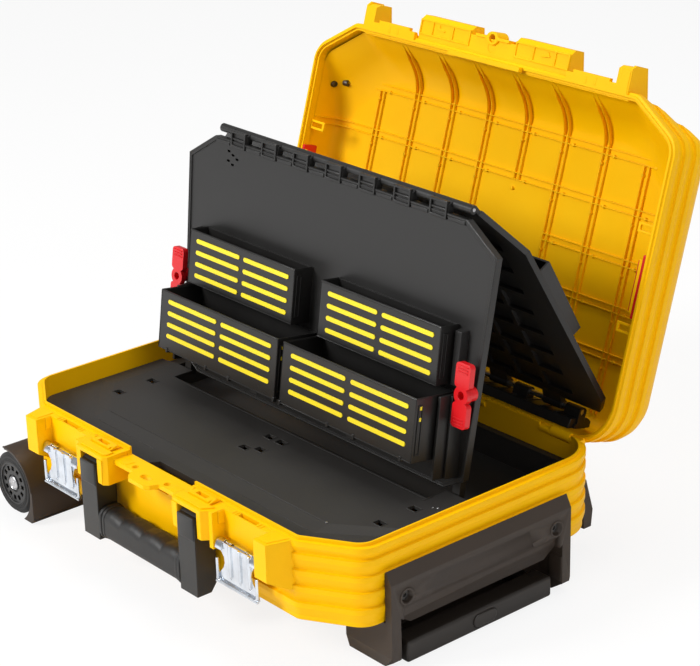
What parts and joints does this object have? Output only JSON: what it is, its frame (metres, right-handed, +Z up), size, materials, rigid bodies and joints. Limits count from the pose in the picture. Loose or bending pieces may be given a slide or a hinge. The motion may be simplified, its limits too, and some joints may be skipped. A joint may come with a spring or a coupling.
{
  "type": "hard tool case",
  "caption": "Wheeled hard tool case with a hinged lid, draw latches, folding tool panels with pockets, a carry handle and a telescopic pull handle.",
  "frame": {"origin": "centre of the overall box, on the floor that the wheels and the bracket's legs stand on", "axes": "+X along the case to the end with the pull handle, -Y to the front with the latches, +Z up"},
  "size_m": [0.5392, 0.502, 0.4654],
  "materials": {
    "shell": "moulded, satin",
    "insert": "moulded, fine grain",
    "panel": "moulded, satin",
    "pocket": "moulded, satin",
    "stripe": "printed yellow inlay, satin",
    "red_catch": "moulded, semi-gloss",
    "latch": "zinc plated",
    "steel": "plain",
    "screw": "blackened",
    "tube": "drawn, satin",
    "bracket": "moulded, grained",
    "handle": "moulded, grained",
    "soft_grip": "soft, matt",
    "pull_grip": "moulded, grained",
    "button": "moulded",
    "tyre": "matt",
    "wheel": "moulded, satin"
  },
  "bodies": {
    "base": {"base_shell": "shell", "floor_panel": "insert", "rear_well": "insert", "hinge_pins": "steel", "pull_bracket": "bracket", "bracket_screws": "screw", "tubes_fixed": "tube", "wheel_housing": "bracket", "axle": "steel", "rear_feet": "bracket", "latch_pin_left": "steel", "latch_pin_right": "steel", "handle_pins": "steel"},
    "lid": {"lid_shell": "shell", "panel_bar": "panel", "panel_bar_rod": "steel", "lid_keeper_left": "red_catch", "lid_keeper_right": "red_catch"},
    "rear_panel": {"panel_rear": "panel", "rear_pocket_left": "pocket", "rear_pocket_right": "pocket"},
    "front_panel": {"panel_front": "panel", "apex_rod": "steel", "pocket_lower_left": "pocket", "pocket_lower_right": "pocket", "pocket_upper_left": "pocket", "pocket_upper_right": "pocket", "pocket_stripes": "stripe"},
    "turn_catch_left": {"turn_catch_left": "red_catch"},
    "turn_catch_right": {"turn_catch_right": "red_catch"},
    "latch_left": {"latch_plate_left": "latch", "latch_claw_left": "latch"},
    "latch_right": {"latch_plate_right": "latch", "latch_claw_right": "latch"},
    "carry_handle": {"handle_frame": "handle", "handle_grip": "soft_grip"},
    "pull_stage": {"tubes_middle": "tube"},
    "pull_handle": {"tubes_inner": "tube", "pull_grip": "pull_grip"},
    "pull_button": {"pull_button": "button"},
    "front_wheel": {"tyre_front": "tyre", "wheel_front": "wheel"},
    "rear_wheel": {"tyre_rear": "tyre", "wheel_rear": "wheel"}
  },
  "joints": [
    {"name": "lid_hinge", "type": "hinge", "parent": "base", "child": "lid", "pos_m": [0, 0.1102, 0.1241], "axis": [1, 0, 0], "range_deg": [0, 106.4]},
    {"name": "rear_panel_fold", "type": "hinge", "parent": "lid", "child": "rear_panel", "pos_m": [0, 0.1432, 0.13565], "axis": [1, 0, 0], "range_deg": [-45.6, 0]},
    {"name": "front_panel_fold", "type": "hinge", "parent": "rear_panel", "child": "front_panel", "pos_m": [0, 0.01169, 0.37165], "axis": [1, 0, 0], "range_deg": [0, 37.3]},
    {"name": "turn_catch_left_turn", "type": "hinge", "parent": "front_panel", "child": "turn_catch_left", "pos_m": [-0.217, -0.01983, 0.21048], "axis": [0, -0.99, 0.1409], "range_deg": [-25, 0]},
    {"name": "turn_catch_right_turn", "type": "hinge", "parent": "front_panel", "child": "turn_catch_right", "pos_m": [0.217, -0.01983, 0.21048], "axis": [0, -0.99, 0.1409], "range_deg": [0, 25]},
    {"name": "latch_left_swing", "type": "hinge", "parent": "base", "child": "latch_left", "pos_m": [-0.14175, -0.2365, 0.0968], "axis": [-1, 0, 0], "range_deg": [0, 180]},
    {"name": "latch_right_swing", "type": "hinge", "parent": "base", "child": "latch_right", "pos_m": [0.14175, -0.2365, 0.0968], "axis": [-1, 0, 0], "range_deg": [0, 180]},
    {"name": "carry_handle_swing", "type": "hinge", "parent": "base", "child": "carry_handle", "pos_m": [0, -0.2385, 0.106], "axis": [-1, 0, 0], "range_deg": [0, 100]},
    {"name": "pull_stage_slide", "type": "slide", "parent": "base", "child": "pull_stage", "axis": [1, 0, 0], "range_m": [0, 0.34]},
    {"name": "pull_handle_slide", "type": "slide", "parent": "pull_stage", "child": "pull_handle", "axis": [1, 0, 0], "range_m": [0, 0.34]},
    {"name": "pull_button_press", "type": "slide", "parent": "pull_handle", "child": "pull_button", "axis": [-1, 0, 0], "range_m": [0, 0.003], "stiffness_N_per_m": 800},
    {"name": "front_wheel_spin", "type": "hinge", "parent": "base", "child": "front_wheel", "pos_m": [-0.237, -0.2302, 0.033], "axis": [0, 1, 0], "continuous": true},
    {"name": "rear_wheel_spin", "type": "hinge", "parent": "base", "child": "rear_wheel", "pos_m": [-0.237, 0.1323, 0.033], "axis": [0, 1, 0], "continuous": true}
  ],
  "couplings": [
    {"joint": "rear_panel_fold", "follows": "lid_hinge", "ratio": -0.4279},
    {"joint": "front_panel_fold", "follows": "lid_hinge", "ratio": 0.34989}
  ]
}
